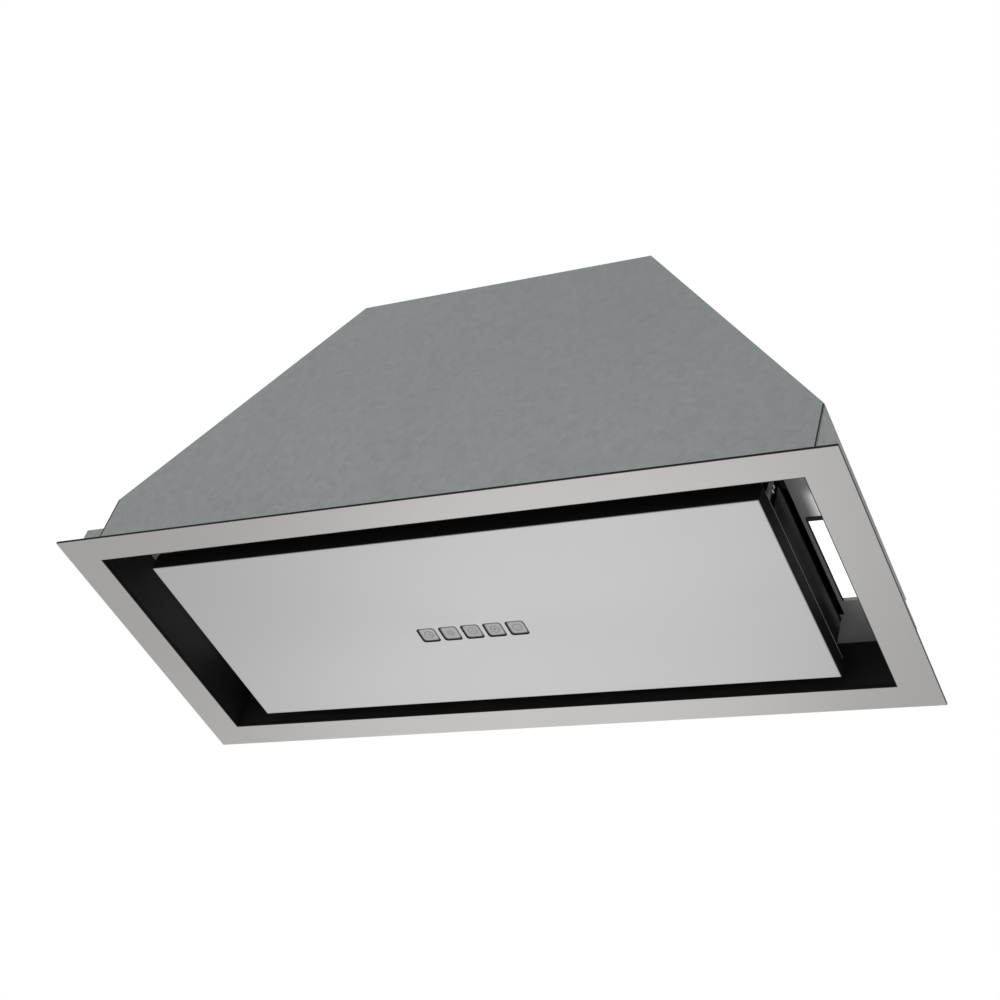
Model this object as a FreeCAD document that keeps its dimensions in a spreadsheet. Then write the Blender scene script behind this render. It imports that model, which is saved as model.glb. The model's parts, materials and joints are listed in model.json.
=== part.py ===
"""A built-in range hood for a wall cabinet, in millimetres, with +Z up.

The origin is the centre of the trim flange's underside. +X runs to the right along the flange, and the front
of the hood faces -Y. Air enters round the hanging control panel, passes the filter and the blower and leaves
through the spigot on top.
"""
import FreeCAD, Part
import math
import os
import re
import Sketcher

Vector = FreeCAD.Vector

SIZES = {
    # Trim flange under the cabinet
    "flange_width": 700,
    "flange_depth": 290,
    "flange_sheet": 2.4,
    "border_side": 33.2,
    "border_end": 27,
    "step_rise": 1,
    "step_margin": 0.5,
    # Folded casing, inside the flange's lips
    "flange_lip_side": 25,
    "flange_lip_end": 18.2,
    "casing_height": 280.6,
    "wall_height": 65.4,
    "top_width": 284,
    "sheet": 1,
    "seam_gap": 0.6,
    "cover_lap": 14,
    "screw_radius": 3.5,
    "screw_head": 2,
    "cover_screw_low": 20,
    "cover_screw_high": 45,
    "cover_screw_margin": 42,
    "side_hole_radius": 2.25,
    "side_hole_front": 55.8,
    "side_hole_rear": 20,
    "side_hole_height": 56,
    # Fixing lug on the left side
    "lug_reach": 18,
    "lug_plate": 1.5,
    "lug_leg": 25,
    "lug_low": 18.5,
    "lug_high": 31,
    # Intake deck over the flange
    "deck_height": 48,
    "shelf_reach": 37.8,
    "deck_ledge_front": 55,
    "deck_ledge_rear": 35,
    # Lamps
    "lens_length": 93.6,
    "lens_width": 22,
    "lens_inset": 4,
    "lens_centre": 19.2,
    "lens_drop": 0.6,
    "lens_play": 1,
    "lamp_rim": 3,
    "lamp_height": 13,
    # Filter, its guides and its latches
    "guide_inset": 5,
    "guide_past_front": 6,
    "guide_past_rear": 1,
    "guide_foot": 20,
    "filter_play": 0.3,
    "filter_base": 38,
    "filter_height": 9,
    "filter_lap_front": 1,
    "filter_lap_rear": 4,
    "filter_border": 13,
    "mesh_sheet": 3,
    "mesh_slot": 12,
    "mesh_count": 20,
    "mesh_end": 10.7,
    "mesh_margin": 10,
    "ledge_width": 360,
    "ledge_lip": 6,
    "keeper_gap": 7,
    "keeper_lip": 3.5,
    "latch_offset": 120,
    "latch_width": 40,
    "latch_length": 26,
    "latch_plate": 1.4,
    "latch_tab": 5,
    "latch_tab_drop": 4,
    "latch_grip": 1.2,
    # Control panel, inside the opening
    "panel_gap_side": 40.3,
    "panel_gap_front": 18.7,
    "panel_gap_rear": 11.9,
    "panel_face": 2.6,
    "panel_rise": 14.8,
    "panel_bend": 1.5,
    "stiffener_margin": 46.5,
    "stiffener_inset": 37.3,
    "stiffener_depth": 20,
    "stiffener_height": 9,
    # Hinges of the panel
    "hinge_margin": 76.5,
    "hinge_inset": 5.1,
    "hinge_height": 15,
    "hinge_plate": 2,
    "hinge_pin_radius": 2.4,
    "hinge_play": 0.05,
    "hinge_eye": 3.8,
    "hinge_side_gap": 0.5,
    "arm_reach": 11.5,
    "arm_depth": 6,
    "arm_foot_width": 16,
    "arm_foot_depth": 13,
    "ear_depth": 10,
    # Catches of the panel
    "catch_margin": 5.5,
    "catch_inset": 15.3,
    "catch_tongue": 2,
    "catch_wide": 3,
    "catch_tip": 1.2,
    "catch_head": 5,
    "catch_top": 27,
    "catch_base": 6,
    "catch_base_height": 1.5,
    "catch_play": 0.3,
    "catch_leaf": 1,
    "catch_leaf_depth": 8,
    "catch_foot": 20,
    "catch_plate_width": 14,
    "catch_plate_depth": 12,
    # Keys and the switch behind them
    "key_count": 5,
    "key_pitch": 21.1,
    "key_row_x": -15,
    "key_row_y": 16,
    "key_hole": 17.6,
    "key_cap": 16.2,
    "key_corner": 3,
    "key_sink": 0.8,
    "key_rim": 0.5,
    "key_rim_gap": 0.3,
    "key_height": 6,
    "key_play": 0.2,
    "key_room": 2.2,
    "switch_wall": 3,
    "switch_roof": 2.4,
    "board_sheet": 1.6,
    "board_margin": 2,
    # Blower
    "blower_x": -60,
    "blower_z": 160,
    "scroll_start": 78,
    "scroll_growth": 34,
    "scroll_throat": 8,
    "scroll_width": 104,
    "scroll_wall": 1.5,
    "inlet_radius": 58,
    "wheel_radius": 70,
    "wheel_ring_depth": 13,
    "wheel_width": 96,
    "wheel_ring": 2,
    "wheel_disc": 1.5,
    "blade_count": 16,
    "blade_radius": 18,
    "blade_trim": 0.5,
    "blade_sheet": 1,
    "hub_radius": 12,
    "hub_length": 20,
    "shaft_radius": 4,
    "shaft_room": 1,
    "shaft_grip": 24,
    "shaft_play": 0.05,
    "motor_radius": 44,
    "motor_length": 34,
    "bracket_sheet": 2.5,
    "bracket_plate": 50,
    "bracket_arm": 12,
    "bracket_reach": 70,
    # Outlet spigot and its flaps
    "duct_radius": 75,
    "duct_wall": 1.5,
    "duct_length": 40,
    "collar_half": 82,
    "collar_margin": 8,
    "collar_sheet": 1.5,
    "collar_screw_inset": 9,
    "flap_pin_rise": 12,
    "flap_pin_radius": 1.5,
    "flap_play": 0.05,
    "flap_sheet": 1.2,
    "flap_rim_gap": 2.5,
    "flap_tube": 3,
    "flap_gap": 0.4,
    "flap_stop": 5,
    "flap_stop_gap": 0.3,
    "flap_boss": 4.5,
    "flap_boss_half": 2.2,
    "knuckle_inner": 18,
    "knuckle_near": 20,
    "knuckle_far": 50,
    # Electrics over the deck
    "box_margin": 19,
    "box_width": 110,
    "box_depth": 55,
    "box_height": 51,
    "box_wall": 1.5,
    "terminal_width": 40,
    "terminal_depth": 20,
    "terminal_height": 17,
    "terminal_inset": 12,
    "capacitor_gap": 21,
    "capacitor_inset": 30.8,
    "capacitor_width": 38,
    "capacitor_depth": 18,
    "capacitor_height": 28,
    "gland_margin": 37,
    "gland_inset": 35.8,
    "gland_nut": 13,
    "gland_nut_height": 5.5,
    "gland_cap": 10,
    "gland_cap_height": 8,
    "gland_bore": 4.5,
    # Every cut runs past its solid by this much
    "overrun": 1,
}

DERIVED = {
    "step_top": "flange_sheet + step_rise",
    "opening_x": "flange_width / 2 - border_side",
    "opening_y": "flange_depth / 2 - border_end",
    "casing_width": "flange_width - 2 * flange_lip_side",
    "casing_depth": "flange_depth - 2 * flange_lip_end",
    "front_face": "-casing_depth / 2",
    "rear_face": "casing_depth / 2",
    "wrap_front": "front_face + sheet",
    "wrap_end": "collar_half + collar_margin",
    "cover_front": "wrap_end - cover_lap",
    "slope_run": "(casing_width - top_width) / 2",
    "slope_rise": "casing_height - wall_height",
    "lean": "slope_run / slope_rise",
    "bevel": "sheet * sqrt(slope_run ^ 2 + slope_rise ^ 2) / slope_rise",
    "roof_under": "casing_height - sheet",
    "deck_top": "deck_height + sheet",
    "deck_opening_front": "opening_y - deck_ledge_front",
    "deck_opening_rear": "opening_y - deck_ledge_rear",
    "shelf_inner": "opening_x - shelf_reach",
    "shelf_outer": "casing_width / 2 - 2 * sheet",
    "lens_inner": "shelf_inner + lens_inset",
    "lens_outer": "lens_inner + lens_width",
    "filter_front": "deck_opening_front + filter_lap_front",
    "filter_rear": "deck_opening_rear + filter_lap_rear",
    "guide_x": "shelf_inner - guide_inset",
    "guide_front": "filter_front + guide_past_front",
    "guide_rear": "filter_rear + guide_past_rear",
    "filter_x": "guide_x - filter_play",
    "filter_top": "filter_base + filter_height",
    "mesh_pitch": "2 * (filter_x - filter_border - mesh_end) / mesh_count",
    "keeper_front": "filter_front + keeper_gap",
    "latch_top": "filter_base - filter_play",
    "latch_base": "latch_top - latch_plate",
    "keeper_top": "latch_base - filter_play",
    "latch_front": "-keeper_front + sheet + filter_play",
    "panel_half": "opening_x - panel_gap_side",
    "panel_front": "panel_gap_front - opening_y",
    "panel_rear": "opening_y - panel_gap_rear",
    "panel_back": "panel_face + sheet",
    "panel_top": "panel_face + panel_rise",
    "hinge_offset": "panel_half - hinge_margin",
    "hinge_rear": "panel_rear - hinge_inset",
    "arm_front": "hinge_rear - arm_reach",
    "catch_offset": "panel_half - catch_margin",
    "catch_y": "panel_front + catch_inset",
    "key_face": "panel_face + key_sink",
    "key_shoulder": "panel_back + key_rim_gap",
    "key_base": "key_hole + 2 * key_rim",
    "key_back": "key_face + key_height",
    "key_pocket": "key_base + 2 * key_play",
    "switch_half_x": "(key_count - 1) * key_pitch / 2 + key_pocket / 2 + switch_wall",
    "switch_half_y": "key_pocket / 2 + switch_wall",
    "pocket_top": "key_back + key_room",
    "switch_top": "pocket_top + switch_roof",
    "scroll_rear": "scroll_width / 2",
    "wheel_half": "wheel_width / 2",
    "shaft_front": "wheel_half - hub_length",
    "motor_front": "scroll_rear",
    "motor_rear": "motor_front + motor_length",
    "shaft_rear": "motor_front + shaft_grip",
    "duct_bore": "duct_radius - duct_wall",
    "flap_height": "casing_height + flap_pin_rise",
    "flap_radius": "duct_bore - flap_rim_gap",
    "flap_root": "flap_tube + flap_gap",
    "box_front": "wrap_front",
    "box_rear": "wrap_front + box_depth",
    "box_right": "shelf_inner - box_margin",
    "box_left": "box_right - box_width",
    "box_top": "deck_top + box_height",
    "capacitor_x": "box_left - capacitor_gap - capacitor_width / 2",
    "capacitor_y": "wrap_front + capacitor_inset",
    "gland_x": "gland_margin - top_width / 2",
    "gland_y": "wrap_front + gland_inset",
}

doc = FreeCAD.newDocument("range_hood")
sheet_object = doc.addObject("Spreadsheet::Sheet", "Sizes")
for row, (alias, amount) in enumerate(SIZES.items(), start=1):
    sheet_object.set(f"A{row}", alias)
    sheet_object.set(f"B{row}", str(amount))
    sheet_object.setAlias(f"B{row}", alias)
doc.recompute()

sub_parts = {}


def spelled_out(text):
    """The expression with every derived name replaced by the sizes that it comes from."""
    def replace(match):
        name = match.group()
        return f"({spelled_out(DERIVED[name])})" if name in DERIVED else name
    return re.sub(r"[a-z_]+", replace, str(text))


def bound(text):
    """The expression as a cell formula that refers to the sheet."""
    def replace(match):
        name = match.group()
        return f"Sizes.{name}" if name in SIZES else name
    return re.sub(r"[a-z_]+", replace, spelled_out(text))


def number(text):
    """The value of an expression, read from the sheet."""
    def replace(match):
        name = match.group()
        if name in DERIVED:
            return f"({number(DERIVED[name]):.9f})"
        return f"({float(sheet_object.get(name)):.9f})" if name in SIZES else name
    return FreeCAD.Units.Quantity(re.sub(r"[a-z_]+", replace, str(text))).Value


def keep(item):
    """Count a document object as a finished sub-part."""
    sub_parts[item.Label] = item
    return item


def sided(sign, near, far):
    """The low and high end of a span on the right, or of its mirror image on the left."""
    return (near, far) if sign > 0 else (f"-({far})", f"-({near})")


def about(centre, half):
    """The low and high end of a span with a centre and a half width."""
    return (f"{centre} - ({half})", f"{centre} + ({half})")


# Building blocks: boxes, rods and their sums and differences

def block(name, x_span, y_span, z_span):
    item = doc.addObject("Part::Box", name)
    for side, letter, (low, high) in zip(("Length", "Width", "Height"), "xyz", (x_span, y_span, z_span)):
        item.setExpression(side, bound(f"({high}) - ({low})"))
        item.setExpression(f"Placement.Base.{letter}", bound(low))
    return item


def set_along(item, axis, centre, span):
    """Lay a round solid along one axis; centre gives the other two coordinates in order."""
    turn = {"x": (Vector(0, 1, 0), 90), "y": (Vector(1, 0, 0), -90), "z": (Vector(0, 0, 1), 0)}[axis]
    item.Placement = FreeCAD.Placement(Vector(), FreeCAD.Rotation(*turn))
    places = dict(zip([letter for letter in "xyz" if letter != axis], centre))
    places[axis] = span[0]
    for letter, text in places.items():
        item.setExpression(f"Placement.Base.{letter}", bound(text))
    item.setExpression("Height", bound(f"({span[1]}) - ({span[0]})"))


def rod(name, axis, centre, span, radius):
    item = doc.addObject("Part::Cylinder", name)
    set_along(item, axis, centre, span)
    item.setExpression("Radius", bound(radius))
    return item


def polygon_bar(name, axis, centre, span, radius, sides=6):
    item = doc.addObject("Part::Prism", name)
    item.Polygon = sides
    set_along(item, axis, centre, span)
    item.setExpression("Circumradius", bound(radius))
    return item


def joined(name, *pieces):
    item = doc.addObject("Part::MultiFuse", name)
    item.Shapes = list(pieces)
    item.Refine = True
    return item


def cut(name, base, *tools):
    item = doc.addObject("Part::Cut", name)
    item.Base = base
    item.Tool = tools[0] if len(tools) == 1 else joined(f"{name}_tools", *tools)
    item.Refine = True
    return item


def group(name, pieces):
    """Identical small fasteners as one sub-part of separate solids."""
    item = doc.addObject("Part::Compound", name)
    item.Links = list(pieces)
    return item


# Bodies made from sketches

PLANE_ROLES = {"XY": "XY_Plane", "XZ": "XZ_Plane", "YZ": "YZ_Plane"}


def new_body(name):
    return doc.addObject("PartDesign::Body", name)


def new_sketch(body, plane, level):
    """A sketch on one of the body's own origin planes, moved along that plane's axis to a level."""
    sketch = body.newObject("Sketcher::SketchObject", f"{body.Name}_sketch")
    role = PLANE_ROLES[plane]
    support = next(feature for feature in body.Origin.OriginFeatures if feature.Role == role)
    sketch.AttachmentSupport = [(support, "")]
    sketch.MapMode = "FlatFace"
    sketch.setExpression("AttachmentOffset.Base.z", bound(f"-({level})" if plane == "XZ" else level))
    return sketch


def fix_point(sketch, line, end, place):
    """Tie one point of a sketch to the two coordinates of a place."""
    for kind, text in zip(("DistanceX", "DistanceY"), place):
        index = sketch.addConstraint(Sketcher.Constraint(kind, -1, 1, line, end, number(text)))
        sketch.setExpression(f"Constraints[{index}]", bound(text))


def draw_outline(sketch, places):
    """A closed outline of straight lines through the places."""
    corners = [Vector(number(u), number(v), 0) for u, v in places]
    first = sketch.GeometryCount
    count = len(corners)
    for index, corner in enumerate(corners):
        sketch.addGeometry(Part.LineSegment(corner, corners[(index + 1) % count]), False)
    for index, place in enumerate(places):
        following = first + (index + 1) % count
        sketch.addConstraint(Sketcher.Constraint("Coincident", first + index, 2, following, 1))
        fix_point(sketch, first + index, 1, place)


def draw_rectangle(sketch, u_span, v_span):
    low_u, high_u = u_span
    low_v, high_v = v_span
    draw_outline(sketch, [(low_u, low_v), (high_u, low_v), (high_u, high_v), (low_u, high_v)])


def draw_circle(sketch, centre, radius):
    middle = Vector(number(centre[0]), number(centre[1]), 0)
    index = sketch.addGeometry(Part.Circle(middle, Vector(0, 0, 1), number(radius)), False)
    fix_point(sketch, index, 3, centre)
    tie = sketch.addConstraint(Sketcher.Constraint("Radius", index, number(radius)))
    sketch.setExpression(f"Constraints[{tie}]", bound(radius))


def draw_rounded(sketch, centre, width, depth, radius):
    """A rectangle with round corners: four arcs, each tied to its centre, and four tangent lines."""
    reach = number(radius)
    first = sketch.GeometryCount
    turns = [(1, 1), (-1, 1), (-1, -1), (1, -1)]
    middles = []
    for quarter, (u_sign, v_sign) in enumerate(turns):
        u_text = f"{centre[0]} + {u_sign} * (({width}) / 2 - ({radius}))"
        v_text = f"{centre[1]} + {v_sign} * (({depth}) / 2 - ({radius}))"
        middle = Vector(number(u_text), number(v_text), 0)
        middles.append(middle)
        ring = Part.Circle(middle, Vector(0, 0, 1), reach)
        start = quarter * math.pi / 2
        sketch.addGeometry(Part.ArcOfCircle(ring, start, start + math.pi / 2), False)
        fix_point(sketch, first + quarter, 3, (u_text, v_text))
        tie = sketch.addConstraint(Sketcher.Constraint("Radius", first + quarter, reach))
        sketch.setExpression(f"Constraints[{tie}]", bound(radius))
    for quarter in range(len(turns)):
        following = (quarter + 1) % len(turns)
        angle = (quarter + 1) * math.pi / 2
        shift = Vector(math.cos(angle), math.sin(angle), 0) * reach
        straight = Part.LineSegment(middles[quarter] + shift, middles[following] + shift)
        line = sketch.addGeometry(straight, False)
        sketch.addConstraint(Sketcher.Constraint("Tangent", first + quarter, 2, line, 1))
        sketch.addConstraint(Sketcher.Constraint("Tangent", line, 2, first + following, 1))


def pad(body, sketch, plane, start, end):
    """Add material from the sketch's level towards higher coordinates."""
    feature = body.newObject("PartDesign::Pad", f"{body.Name}_pad")
    feature.Profile = sketch
    feature.Reversed = plane == "XZ"
    feature.setExpression("Length", bound(f"({end}) - ({start})"))
    return feature


def pocket(body, sketch, plane, start, end):
    """Take material away from the sketch's level towards higher coordinates."""
    feature = body.newObject("PartDesign::Pocket", f"{body.Name}_pocket")
    feature.Profile = sketch
    feature.Reversed = plane != "XZ"
    feature.setExpression("Length", bound(f"({end}) - ({start})"))
    return feature


def row_of(body, feature, sketch, length, count):
    """Repeat a feature along the sketch's horizontal axis."""
    pattern = body.newObject("PartDesign::LinearPattern", f"{body.Name}_row")
    pattern.Originals = [feature]
    pattern.Direction = (sketch, ["H_Axis"])
    pattern.setExpression("Length", bound(length))
    pattern.setExpression("Occurrences", bound(count))
    body.Tip = pattern
    return pattern


def prism(name, plane, places, start, end):
    """A body with one straight-sided outline padded from start to end."""
    body = new_body(name)
    sketch = new_sketch(body, plane, start)
    draw_outline(sketch, places)
    pad(body, sketch, plane, start, end)
    return body


# Trim flange and casing

def make_trim_flange():
    body = new_body("trim_flange")
    half_x, half_y = "flange_width / 2", "flange_depth / 2"
    step_x, step_y = "casing_width / 2 + step_margin", "casing_depth / 2 + step_margin"
    rim = new_sketch(body, "XY", "0")
    draw_rectangle(rim, (f"-({half_x})", half_x), (f"-({half_y})", half_y))
    pad(body, rim, "XY", "0", "flange_sheet")
    step = new_sketch(body, "XY", "flange_sheet")
    draw_rectangle(step, (f"-({step_x})", step_x), (f"-({step_y})", step_y))
    pad(body, step, "XY", "flange_sheet", "step_top")
    opening = new_sketch(body, "XY", "-overrun")
    draw_rectangle(opening, ("-opening_x", "opening_x"), ("-opening_y", "opening_y"))
    pocket(body, opening, "XY", "-overrun", "step_top + overrun")
    keep(body)


def casing_line(inset_count, roof_count, sign):
    """Foot, knee and top of one side of the casing, moved in by whole sheets."""
    wall_x = f"(casing_width / 2 - {inset_count} * sheet)"
    knee_z = f"(wall_height - {inset_count} * (bevel - sheet) / lean)"
    roof_x = f"(top_width / 2 + {roof_count} * lean * sheet - {inset_count} * bevel)"
    roof_z = f"(casing_height - {roof_count} * sheet)"
    places = [(wall_x, "step_top"), (wall_x, knee_z), (roof_x, roof_z)]
    return [(f"{sign} * {reach}", level) for reach, level in places]


def house_outline(inset_count, roof_count):
    return casing_line(inset_count, roof_count, 1) + casing_line(inset_count, roof_count, -1)[::-1]


def make_casing():
    keep(prism("front_panel", "XZ", house_outline(0, 0), "front_face", "wrap_front"))
    for side, sign in (("left", -1), ("right", 1)):
        outline = casing_line(0, 1, sign) + casing_line(1, 1, sign)[::-1]
        body = prism(f"{side}_side_shell", "XZ", outline, "wrap_front + seam_gap", "wrap_end")
        wall = sided(sign, "casing_width / 2 - sheet - overrun", "casing_width / 2 + overrun")
        holes = new_sketch(body, "YZ", wall[0])
        for place in ("wrap_front + side_hole_front", "wrap_end - side_hole_rear"):
            draw_circle(holes, (place, "side_hole_height"), "side_hole_radius")
        pocket(body, holes, "YZ", *wall)
        keep(body)

    roof = new_body("top_plate")
    plate = new_sketch(roof, "XY", "roof_under")
    draw_rectangle(plate, ("-top_width / 2", "top_width / 2"), ("wrap_front", "wrap_end"))
    draw_circle(plate, ("0", "0"), "duct_bore")
    draw_circle(plate, ("gland_x", "gland_y"), "gland_bore")
    pad(roof, plate, "XY", "roof_under", "casing_height")
    keep(roof)

    cover = new_body("rear_cover")
    outer = new_sketch(cover, "XZ", "cover_front")
    draw_outline(outer, house_outline(1, 1))
    pad(cover, outer, "XZ", "cover_front", "rear_face")
    inner = new_sketch(cover, "XZ", "cover_front - overrun")
    draw_outline(inner, house_outline(2, 2))
    pocket(cover, inner, "XZ", "cover_front - overrun", "rear_face - sheet")
    keep(cover)

    heads = []
    screw_y = "wrap_end - collar_margin / 2"
    for sign in (-1, 1):
        span = sided(sign, "casing_width / 2", "casing_width / 2 + screw_head")
        for level in ("cover_screw_low", "cover_screw_high"):
            heads.append(polygon_bar("cover_screw", "x", (screw_y, level), span, "screw_radius"))
        roof_span = ("casing_height", "casing_height + screw_head")
        roof_place = (f"{sign} * (top_width / 2 - cover_screw_margin)", screw_y)
        heads.append(polygon_bar("cover_screw", "z", roof_place, roof_span, "screw_radius"))
    keep(group("cover_screws", heads))


def make_fixing_lug():
    wall = "-casing_width / 2"
    level = ("lug_low", "lug_high")
    leg = block("lug_leg", (f"{wall} - lug_plate", wall), ("front_face", "front_face + lug_leg"), level)
    plate = block("lug_plate", (f"{wall} - lug_reach", wall), ("front_face", "front_face + lug_plate"), level)
    keep(joined("left_fixing_lug", leg, plate))


# Intake neck, deck and lamps

def make_intake():
    height = ("step_top", "deck_height")
    for side, sign in (("left", -1), ("right", 1)):
        x_span = sided(sign, "opening_x", "opening_x + sheet")
        keep(block(f"neck_{side}_wall", x_span, ("-opening_y - sheet", "opening_y + sheet"), height))
    for side, sign in (("front", -1), ("rear", 1)):
        y_span = sided(sign, "opening_y", "opening_y + sheet")
        keep(block(f"neck_{side}_wall", ("-opening_x", "opening_x"), y_span, height))
    deck = ("deck_height", "deck_top")
    width = ("-shelf_inner", "shelf_inner")
    fold_x = ("-ledge_width / 2", "ledge_width / 2")

    front = block("deck_front_plate", width, ("wrap_front", "-deck_opening_front"), deck)
    keeper_y = ("-keeper_front", "-keeper_front + sheet")
    keeper_z = ("keeper_top - sheet", "keeper_top")
    keeper_web = block("keeper_web", fold_x, keeper_y, (keeper_z[0], "deck_height"))
    keeper_lip = block("keeper_lip", fold_x, (keeper_y[1], f"{keeper_y[1]} + keeper_lip"), keeper_z)
    keep(joined("deck_front", front, keeper_web, keeper_lip))

    rear = block("deck_rear_plate", width, ("deck_opening_rear", "rear_face - sheet"), deck)
    ledge_y = ("filter_rear + filter_play", "filter_rear + filter_play + sheet")
    ledge_z = ("filter_base - filter_play - sheet", "filter_base - filter_play")
    ledge_web = block("ledge_web", fold_x, ledge_y, (ledge_z[0], "deck_height"))
    ledge_lip = block("ledge_lip", fold_x, (f"{ledge_y[0]} - ledge_lip", ledge_y[0]), ledge_z)
    keep(joined("deck_rear", rear, ledge_web, ledge_lip))


def make_lamp(side, sign):
    shelf = new_body(f"{side}_lamp_shelf")
    plate = new_sketch(shelf, "XY", "deck_height")
    draw_rectangle(plate, sided(sign, "shelf_inner", "shelf_outer"), ("wrap_front", "rear_face - sheet"))
    middle = (f"{sign} * (lens_inner + lens_outer) / 2", "lens_centre")
    window_x = about(middle[0], "lens_width / 2 + lens_play")
    draw_rectangle(plate, window_x, about(middle[1], "lens_length / 2 + lens_play"))
    pad(shelf, plate, "XY", "deck_height", "deck_top")
    keep(shelf)

    lens_x = about(middle[0], "lens_width / 2")
    lens_y = about(middle[1], "lens_length / 2")
    keep(block(f"{side}_lamp_lens", lens_x, lens_y, ("deck_height - lens_drop", "deck_top")))
    housing_x = about(middle[0], "lens_width / 2 + lamp_rim")
    housing_y = about(middle[1], "lens_length / 2 + lamp_rim")
    keep(block(f"{side}_lamp_housing", housing_x, housing_y, ("deck_top", "deck_top + lamp_height")))


# Filter, its seat and its latches

def make_filter():
    depth = ("-filter_front", "filter_rear")
    height = ("filter_base", "filter_top")
    blank = block("filter_blank", ("-filter_x", "filter_x"), depth, height)
    window_x = ("-filter_x + filter_border", "filter_x - filter_border")
    window_y = ("-filter_front + filter_border", "filter_rear - filter_border")
    hole = block("filter_window", window_x, window_y, ("filter_base - overrun", "filter_top + overrun"))
    keep(cut("filter_frame", blank, hole))

    mesh = new_body("filter_mesh")
    level = "filter_base + (filter_height - mesh_sheet) / 2"
    plate = new_sketch(mesh, "XY", level)
    draw_rectangle(plate, window_x, window_y)
    pad(mesh, plate, "XY", level, f"{level} + mesh_sheet")
    slot = new_sketch(mesh, "XY", f"{level} - overrun")
    run = "((mesh_count - 1) * mesh_pitch)"
    slot_y = (f"{window_y[0]} + mesh_margin", f"{window_y[1]} - mesh_margin")
    draw_rectangle(slot, (f"-{run} / 2 - mesh_slot / 2", f"-{run} / 2 + mesh_slot / 2"), slot_y)
    first = pocket(mesh, slot, "XY", f"{level} - overrun", f"{level} + mesh_sheet + overrun")
    row_of(mesh, first, slot, run, "mesh_count")
    keep(mesh)

    for side, sign in (("left", -1), ("right", 1)):
        x_span = sided(sign, "guide_x", "guide_x + sheet")
        z_span = ("guide_foot", "deck_height")
        keep(block(f"{side}_filter_guide", x_span, ("-guide_front", "guide_rear"), z_span))


def make_latch(side, sign):
    centre = f"{sign} * latch_offset"
    x_span = about(centre, "latch_width / 2")
    end = "latch_front + latch_length"
    plate = block(f"{side}_latch_plate", x_span, ("latch_front", end), ("latch_base", "latch_top"))
    tab_y = (f"{end} - latch_tab", f"{end} - latch_tab + latch_grip")
    tab = block(f"{side}_latch_tab", x_span, tab_y, ("latch_base - latch_tab_drop", "latch_base"))
    keep(joined(f"{side}_filter_latch", plate, tab))


# Control panel with its hinges and catches

def make_panel_skin():
    body = new_body("panel_skin")
    outline = new_sketch(body, "XY", "panel_face")
    draw_rectangle(outline, ("-panel_half", "panel_half"), ("panel_front", "panel_rear"))
    solid = pad(body, outline, "XY", "panel_face", "panel_top")
    doc.recompute()
    edges = [
        f"Edge{index}" for index, edge in enumerate(solid.Shape.Edges, start=1)
        if max(vertex.Z for vertex in edge.Vertexes) < number("panel_face + sheet")
    ]
    bend = body.newObject("PartDesign::Fillet", "panel_skin_bend")
    bend.Base = (solid, edges)
    bend.setExpression("Radius", bound("panel_bend"))
    inner = new_sketch(body, "XY", "panel_back")
    inner_x = ("-panel_half + sheet", "panel_half - sheet")
    draw_rectangle(inner, inner_x, ("panel_front + sheet", "panel_rear - sheet"))
    pocket(body, inner, "XY", "panel_back", "panel_top + overrun")
    hole = new_sketch(body, "XY", "panel_face - overrun")
    first_key = ("key_row_x - (key_count - 1) * key_pitch / 2", "key_row_y")
    draw_rounded(hole, first_key, "key_hole", "key_hole", "key_corner")
    cut_hole = pocket(body, hole, "XY", "panel_face - overrun", "panel_back + overrun")
    row_of(body, cut_hole, hole, "(key_count - 1) * key_pitch", "key_count")
    keep(body)


def make_stiffener():
    x_span = ("-panel_half + stiffener_margin", "panel_half - stiffener_margin")
    y_span = ("panel_front + stiffener_inset", "panel_front + stiffener_inset + stiffener_depth")
    hat = block("stiffener_hat", x_span, y_span, ("panel_back", "panel_back + stiffener_height"))
    inner_x = (f"{x_span[0]} - overrun", f"{x_span[1]} + overrun")
    inner_y = (f"{y_span[0]} + sheet", f"{y_span[1]} - sheet")
    inner_z = ("panel_back - overrun", "panel_back + stiffener_height - sheet")
    keep(cut("panel_stiffener", hat, block("stiffener_room", inner_x, inner_y, inner_z)))


def make_hinge(side, sign):
    pivot = ("hinge_rear", "hinge_height")
    arm_x = sided(sign, "hinge_offset - hinge_plate / 2", "hinge_offset + hinge_plate / 2")
    arm_y = ("arm_front", "arm_front + arm_depth")
    eye_z = ("hinge_height - hinge_eye", "hinge_height + hinge_eye")
    upright = block(f"{side}_arm_upright", arm_x, arm_y, (eye_z[0], "deck_height"))
    reach = block(f"{side}_arm_reach", arm_x, ("arm_front", "hinge_rear"), eye_z)
    eye = rod(f"{side}_arm_eye", "x", pivot, arm_x, "hinge_eye")
    foot_x = about(f"{sign} * hinge_offset", "arm_foot_width / 2")
    foot_y = ("arm_front", "arm_front + arm_foot_depth")
    foot = block(f"{side}_arm_foot", foot_x, foot_y, ("deck_height - hinge_plate", "deck_height"))
    solid = joined(f"{side}_arm_solid", upright, reach, eye, foot)
    bore_x = about(f"{sign} * hinge_offset", "hinge_plate")
    bore = rod(f"{side}_arm_bore", "x", pivot, bore_x, "hinge_pin_radius")
    keep(cut(f"{side}_hinge_arm", solid, bore))

    near = "hinge_offset + hinge_plate / 2 + hinge_side_gap"
    ear_x = sided(sign, near, f"{near} + hinge_plate")
    rear = "panel_rear - sheet"
    plate = block(f"{side}_ear_plate", ear_x, (f"{rear} - ear_depth", rear), ("panel_back", eye_z[1]))
    hole_x = sided(sign, f"{near} - overrun", f"{near} + hinge_plate + overrun")
    hole = rod(f"{side}_ear_hole", "x", pivot, hole_x, "hinge_pin_radius + hinge_play")
    keep(cut(f"{side}_panel_ear", plate, hole))


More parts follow.
